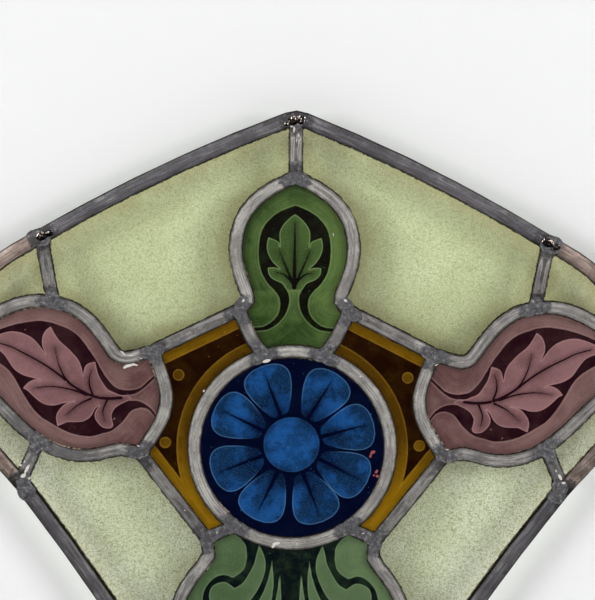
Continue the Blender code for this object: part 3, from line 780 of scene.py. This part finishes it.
# %% The scrolls in the bottom lobe
BOTTOM_FIELD = [
    [-40j, 34 - 56j, 33.1 - 61.4j, 29.8 - 66j, 29 - 72.6j, 29.6 - 78.6j, 32.1 - 83.9j, 38.3 - 88.3j],
    [38.3 - 88.3j, 42.5 - 86.6j, 45.8 - 86.5j, 50.3 - 88.5j, 54.1 - 92.4j, 57 - 97.4j, 58 - 104j, 55.5 - 112j,
     49 - 119.5j],
    [49 - 119.5j, 53 - 128j, 54 - 138j, 51 - 149j, 43.5 - 158.5j],
    [43.5 - 158.5j, 44.5 - 168j, 41.5 - 181j, 34 - 194j, 26 - 203.5j],
    [26 - 203.5j, 21 - 215j, 12 - 231j, -250j],
]
PETALS = [
    [[21 - 65j, 22.7 - 71.7j, 24.2 - 78.3j, 27.4 - 84.9j, 31.6 - 91.6j, 37 - 95.2j],
     [37 - 95.2j, 40.3 - 92.8j, 43.6 - 91.1j, 47.8 - 91.8j, 52.2 - 94.7j, 53.9 - 101j, 51.5 - 109j,
      45 - 115.5j],
     [45 - 115.5j, 37 - 113j, 30 - 107.5j, 24.1 - 100.3j, 20.9 - 94.7j, 17.8 - 87j, 16.6 - 80.4j,
      17.3 - 73.8j, 21 - 65j]],
    [[12.4 - 75.7j, 14.6 - 88j, 19 - 100j, 26 - 111j, 34 - 118.5j, 43 - 121j],
     [43 - 121j, 48 - 128j, 49.6 - 137j, 47 - 146j, 40 - 154.5j],
     [40 - 154.5j, 29.5 - 143j, 20 - 126j, 13.6 - 108j, 11.2 - 92j, 12.4 - 75.7j]],
    [[7 - 82.2j, 9 - 99j, 13 - 116j, 19 - 133j, 27 - 149j, 36.5 - 160j],
     [36.5 - 160j, 39.4 - 169j, 37 - 180j, 31 - 190j, 22.5 - 199.5j],
     [22.5 - 199.5j, 17.6 - 182j, 11.8 - 158j, 8 - 134j, 6 - 108j, 7 - 82.2j]],
    [[3 - 112j, 4.6 - 136j, 8.6 - 162j, 13.6 - 184j, 18.5 - 205j],
     [18.5 - 205j, 14 - 219j, 7 - 232j, 1.2 - 241j],
     [1.2 - 241j, 2 - 214j, 2.2 - 186j, 1.8 - 150j, 3 - 112j]],
]
pane = net_of("glass_lobe_bottom", SCROLL_SPACING)
points = panel_points(pane.data)
folded = abs(points.real) + 1j * points.imag
petal_depth = np.max([depth_inside(folded, outline_of(petal)) for petal in PETALS], axis=0)
nothing = np.full(len(points), OUTSIDE)
paint(pane, mirrored_depth(points, BOTTOM_FIELD), petal_depth, nothing, 0.3 - points.real / 150,
      LOWER_GREEN)

# %% The amber wings
DOTS = [74.8 + 47.9j, 83.3 + 2.7j]
DOT_RADIUS = 3.9
UPPER_BAND, LOWER_BAND, RING_BAND = 11.2, 10.8, 76
for node in ("glass_wing_right", "glass_wing_left"):
    pane = net_of(node, PAINT_SPACING)
    points = panel_points(pane.data)
    folded = abs(points.real) + 1j * points.imag
    upper = UPPER_BAND - distance_to_line(folded, [SIDE_JOINTS["wing_top"], SIDE_JOINTS["shoulder"]])
    lower = LOWER_BAND - distance_to_line(folded, [SIDE_JOINTS["hip"], SIDE_JOINTS["wing_foot"]])
    dots = [DOT_RADIUS - abs(folded - dot) for dot in DOTS]
    bands = np.max([upper, lower, RING_BAND - abs(folded), *dots], axis=0)
    nothing = np.full(len(points), OUTSIDE)
    deep = np.where(upper > 0, 0.55, np.clip((points.imag + 34) / 48, 0, 1))
    paint(pane, -bands, nothing, nothing, deep, AMBER)

# %% The blue flower
FLOWER_MIDDLE = -0.5 + 2.3j
FLOWER_DISC = 18.4
PETAL_ANGLES = [16, 59, 111, 154, 202, 244.5, 292, 333]
PETAL = [20.5 + 0j, 21.3 + 5.2j, 26 + 8.6j, 32 + 11.8j, 39 + 14.6j, 45.5 + 15.7j, 51 + 13.8j,
         54.8 + 7.9j, 56 + 0j]
PETAL_VEIN = ([20 + 0j, 32 + 0j, 50 + 0j], 3.0, 0.2)
pane = net_of("glass_roundel", PAINT_SPACING)
points = panel_points(pane.data) - FLOWER_MIDDLE
half_petal = smooth(PETAL)
petal = half_petal + [point.conjugate() for point in reversed(half_petal[1:-1])]
turned = [points * np.exp(-1j * math.radians(angle)) for angle in PETAL_ANGLES]
flower = np.max([depth_inside(spot, petal) for spot in turned] + [FLOWER_DISC - abs(points)], axis=0)
veins = np.max([vein_depth(spot, [PETAL_VEIN]) for spot in turned], axis=0)
towards_base = np.clip((42 - abs(points)) / 21, 0, 1) ** 1.2
beside_vein = 0.8 * np.clip(1 + veins / 3, 0, 1) ** 1.5
disc_edge = np.clip((abs(points) - 10) / (FLOWER_DISC - 10), 0, 1) ** 2
petal_shade = np.clip(towards_base + 0.7 * beside_vein, 0, 1)
shade = np.where(abs(points) < FLOWER_DISC + 1, 0.6 * disc_edge, petal_shade)
deep = 0.35 + 0.012 * (abs(points) - FLOWER_DISC)
paint(pane, np.full(len(points), INSIDE), flower, veins, deep, BLUE, shade)

# %% [markdown]
# Solder is melted over each joint and runs a little way along the leads. Flattened balls, a long and a
# shorter one along each arm of a joint, are joined and remeshed, so that they flow together. Smoothing then
# fills the corners a little. The directions of the arms are read from the lead itself, on a small circle
# around the joint.

# %% Balls, and lumps made of them
LEAD_POINTS = np.concatenate([panel_points(piece.data) for piece in LEADS])
ARM_CIRCLE, ARM_RING = 13, 1.3
ARM_GAP = math.radians(6)
STRAY_POINTS = 3


def arms_at(joint):
    """The directions in which leads leave a joint, as angles."""
    around = LEAD_POINTS[abs(abs(LEAD_POINTS - joint) - ARM_CIRCLE) < ARM_RING] - joint
    angles = np.sort(np.angle(around))
    gaps = np.diff(np.append(angles, angles[0] + 2 * math.pi))
    start = np.argmax(gaps) + 1
    turned = np.unwrap(np.roll(angles, -start))
    arms = np.split(turned, np.where(np.diff(turned) > ARM_GAP)[0] + 1)
    return [(arm.min() + arm.max()) / 2 for arm in arms if len(arm) > STRAY_POINTS]


def flat_ball(spot, depth, turn, half_sizes, segments):
    """A flattened ball in front of or behind a point of the panel, turned by an angle. All in millimetres."""
    place = MIDDLE + Vector((spot.real, depth, spot.imag)) * MM
    bpy.ops.mesh.primitive_uv_sphere_add(segments=segments, ring_count=segments // 2, radius=MM,
                                         location=place, rotation=(0, -turn, 0))
    bpy.context.object.scale = half_sizes
    return bpy.context.object


def lump_of(balls, name, spacing, dents):
    """Melts balls into one piece with an even net, and dents it with some of the clouded textures."""
    bpy.ops.object.select_all(action="DESELECT")
    for ball in balls:
        ball.select_set(True)
    bpy.context.view_layer.objects.active = balls[0]
    bpy.ops.object.join()
    lump = bpy.context.object
    bpy.ops.object.transform_apply(location=True, rotation=True, scale=True)
    lump.name = lump.data.name = name
    lump.data.remesh_voxel_size = spacing * MM
    bpy.ops.object.voxel_remesh()
    for clouds, depth in dents.items():
        dent(lump, clouds, -depth, mid_level=0)
    bpy.ops.object.shade_smooth()
    return lump


# %% Solder on both faces of every joint
SOLDER_TOP = {-1: 2.72, 1: 2.97}
BEAD_TOP = 2.97
SOLDER_RISE = 0.62
SOLDER_WIDTHS = {1: 4.5, 0.6: 4.1}
SHORTEST_REACH, REACH_VARIES, PAST_JOINT = 9, 2, 2.5
SOLDER_SPACING = 0.4

for label, facing in {"front": -1, "back": 1}.items():
    balls = []
    for number, joint in enumerate(JOINTS):
        for turn, angle in enumerate(arms_at(joint)):
            longest = SHORTEST_REACH + REACH_VARIES * math.sin(3 * number + 2 * turn + facing)
            for share, width in SOLDER_WIDTHS.items():
                half = (share * longest + PAST_JOINT) / 2
                spot = joint + (share * longest - half) * np.exp(1j * angle)
                balls.append(flat_ball(spot, facing * (SOLDER_TOP[facing] - SOLDER_RISE), angle,
                                       (half, SOLDER_RISE, width), 24))
    lump = lump_of(balls, f"solder_{label}", SOLDER_SPACING, {"short": 0.5, "fine": 0.35})
    finish_with(lump, "SMOOTH", factor=0.5, iterations=1)
    keep_in_box(lump)
    for name, value in {"solder": 1, "polish": 0, "inwards": 3}.items():
        mark(lump, name, np.full(len(lump.data.vertices), value))
    lump.data.materials.append(SOLDER)
    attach(lump, "root")
    print(lump.name, len(lump.data.polygons), "faces", [round(v / MM, 2) for v in lump.dimensions])

# %% [markdown]
# A few joints have a shiny bead of solder that never flowed out, dry white crust clings to the edges of some
# leads, and two flecks of coral paint lie on the roundel. All are small flattened balls that noise has
# dented. Each is given as its place, half its length, half its width and its turn in degrees.

# %% Beads, crumbs and flecks
LUMP_SPACING = 0.22


def small_lumps(name, spots, material, top, rise, dents):
    """One piece of small lumps that rise to a given height over the middle of the panel's depth."""
    balls = [flat_ball(spot, rise / 2 - top, math.radians(turn), (length, rise / 2, width), 20)
             for spot, length, width, turn in spots]
    lump = lump_of(balls, name, LUMP_SPACING, {"fine": dents})
    lump.data.materials.append(material)
    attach(lump, "root")
    print(lump.name, len(lump.data.polygons), "faces")
    return lump


BEADS = [
    (-2.4 + 214.6j, 4.4, 3.5, 10), (3.0 + 215.2j, 4.2, 3.3, -10), (-6.6 + 212.6j, 2.2, 1.8, 20),
    (-163.5 + 138.0j, 4.8, 3.3, 25), (-158.8 + 139.8j, 3.2, 2.4, 20),
    (163.5 + 138.0j, 5.0, 3.3, -25), (169.0 + 135.0j, 3.2, 2.8, 0),
]
CRUMBS = [
    (-107.5 + 53.6j, 3.4, 1.2, 12), (-103.5 + 54.4j, 2.6, 0.9, -8), (-109.8 + 52.6j, 1.4, 1.1, 40),
    (-111.0 + 62.0j, 2.4, 0.8, -40), (-106.0 + 60.5j, 2.0, 0.7, 5), (-99.0 + 58.6j, 1.3, 0.5, 20),
    (-17.4 + 58.0j, 2.8, 1.3, 15), (-33.0 + 97.5j, 1.4, 0.9, 60), (33.4 + 98.4j, 1.5, 1.0, -40),
    (-9.6 - 64.2j, 2.8, 1.2, 8), (-11.6 - 66.0j, 1.8, 1.2, 50), (3.6 - 64.4j, 0.9, 0.6, 80),
    (-174.0 - 16.0j, 3.6, 1.2, 62), (-176.4 - 20.6j, 2.2, 1.4, 30), (-178.2 - 13.6j, 1.2, 0.9, 0),
    (-172.4 - 22.4j, 1.3, 0.8, 50), (-175.6 - 11.2j, 1.2, 0.7, 70),
    (176.2 - 17.0j, 2.6, 1.2, -60), (178.6 - 20.8j, 1.6, 1.0, 0), (173.4 - 12.8j, 1.2, 0.7, -50),
    (-1.4 + 208.8j, 2.2, 0.9, 84), (1.6 + 205.4j, 1.6, 0.7, 98), (-3.2 + 210.8j, 1.2, 0.7, 0),
    (0.2 + 202.0j, 1.6, 0.5, 90), (-2.2 + 203.6j, 0.9, 0.5, 80),
    (93.5 + 57.0j, 1.6, 0.6, 30), (101.6 + 0.6j, 1.4, 0.6, 10), (-101.0 + 0.4j, 1.3, 0.6, -20),
    (47.6 - 56.6j, 1.1, 0.6, 20), (-49.0 - 57.2j, 1.0, 0.5, 70), (-70.2 - 42.6j, 0.7, 0.5, 0),
    (-58.2 + 37.6j, 1.1, 0.8, 60), (44.0 + 48.6j, 0.9, 0.6, 30), (24.8 + 141.5j, 1.5, 0.5, 100),
]
FLECKS = [(52.9 - 2.2j, 2.9, 1.9, 20), (51.4 - 4.8j, 1.8, 1.5, 80), (55.6 - 15.0j, 2.5, 1.6, 50),
          (56.2 - 18.0j, 2.2, 1.6, 0), (53.9 - 17.6j, 1.3, 1.1, 0)]
small_lumps("solder_beads", BEADS, DROPLET, BEAD_TOP, 2.2, 0.25)
small_lumps("crust_crumbs", CRUMBS, CRUST, BEAD_TOP, 1.3, 0.4)
small_lumps("coral_flecks", FLECKS, CORAL, 1.6, 0.5, 0.1)

# %% [markdown]
# The wall and the floor are only scenery. The wall is seen from one side only, so that the back of the panel
# can be looked at too. Both look black in reflections, as they would with black cloth beside the camera, so
# that the dark paint stays dark. Two soft lamps, left and right, each throw a shadow of the leads on the
# wall. A third one lights the back.

# %% Wall, floor, lights and world
def seen_in_reflection(tree):
    """1 for rays that a surface has mirrored, 0 for the others, also those that have come through glass."""
    ray = add_node(tree, "ShaderNodeLightPath").outputs
    return maths(tree, "SUBTRACT", ray["Is Glossy Ray"], ray["Is Transmission Ray"], clamp=True)


def stage_material(name, tone, one_sided):
    material, tree, shader = new_material(name, Roughness=0.9)
    shader.inputs["Base Color"].default_value = tone
    clear = add_node(tree, "ShaderNodeBsdfTransparent").outputs[0]
    black = add_node(tree, "ShaderNodeEmission", {"Strength": 0.0}).outputs[0]
    reflected = seen_in_reflection(tree)
    seen = add_node(tree, "ShaderNodeMixShader", {0: reflected, 1: shader.outputs[0], 2: black}).outputs[0]
    if one_sided:
        behind = add_node(tree, "ShaderNodeNewGeometry").outputs["Backfacing"]
        seen = add_node(tree, "ShaderNodeMixShader", {0: behind, 1: seen, 2: clear}).outputs[0]
    tree.links.new(seen, tree.nodes["Material Output"].inputs["Surface"])
    return material


WALL_GAP = 0.028
FLOOR_DROP = 0.012
bpy.ops.mesh.primitive_plane_add(size=1, location=(0, WALL_GAP, 0.6), rotation=(math.radians(90), 0, 0))
wall = bpy.context.object
wall.name = "wall"
wall.scale = (2.4, 1.4, 1)
wall.data.materials.append(stage_material("wall_paint", colour(243, 243, 243), True))
bpy.ops.mesh.primitive_plane_add(size=6, location=(0, 0, -FLOOR_DROP))
floor = bpy.context.object
floor.name = "floor"
floor.data.materials.append(stage_material("floor_paint", colour(240, 240, 238), False))


for name, place, size, power in (("left", (-1.63, -2.0, 1.07), 0.95, 30.3),
                                 ("right", (1.63, -2.0, 1.07), 0.95, 29.2),
                                 ("rear", (-0.6, 1.6, 1.4), 1.2, 40)):
    data = bpy.data.lights.new(name, "AREA")
    data.size, data.energy = size, power
    lamp = bpy.data.objects.new(name, data)
    bpy.context.scene.collection.objects.link(lamp)
    lamp.location = place
    lamp.rotation_mode = "QUATERNION"
    lamp.rotation_quaternion = (MIDDLE - Vector(place)).to_track_quat("-Z", "Y")
world = bpy.data.worlds.new("room")
bpy.context.scene.world = world
world.use_nodes = True
tree = world.node_tree
reflected = seen_in_reflection(tree)
tree.nodes["Background"].inputs["Color"].default_value = (0.96, 0.98, 1, 1)
tree.links.new(ramped(tree, reflected, 0, 1, 0.22, 0.09), tree.nodes["Background"].inputs["Strength"])
bpy.context.scene.view_settings.view_transform = "Standard"

# %% [markdown]
# The camera stands in front of the upper half, a little above it, with a long lens. The picture crops the
# panel: its width shows 387 millimetres.

# %% Camera
PICTURE_HEIGHT = 600
MM_PER_PIXEL = 0.65
CAMERA_DISTANCE, CAMERA_RISE, CAMERA_ROLL = 1.4, math.radians(8.5), math.radians(0.75)
camera = bpy.data.objects.new("camera", bpy.data.cameras.new("camera"))
bpy.context.scene.collection.objects.link(camera)
bpy.context.scene.camera = camera
AIM_RIGHT, AIM_UP = 2.2, 98.1
aim = MIDDLE + Vector((AIM_RIGHT, 0, AIM_UP)) * MM
back = Vector((0, -math.cos(CAMERA_RISE), math.sin(CAMERA_RISE)))
camera.location = aim + back * CAMERA_DISTANCE
camera.rotation_mode = "QUATERNION"
camera.rotation_quaternion = (-back).to_track_quat("-Z", "Y") @ Quaternion((0, 0, 1), CAMERA_ROLL)
camera.data.lens = camera.data.sensor_width * CAMERA_DISTANCE / (PICTURE_HEIGHT * MM_PER_PIXEL * MM)
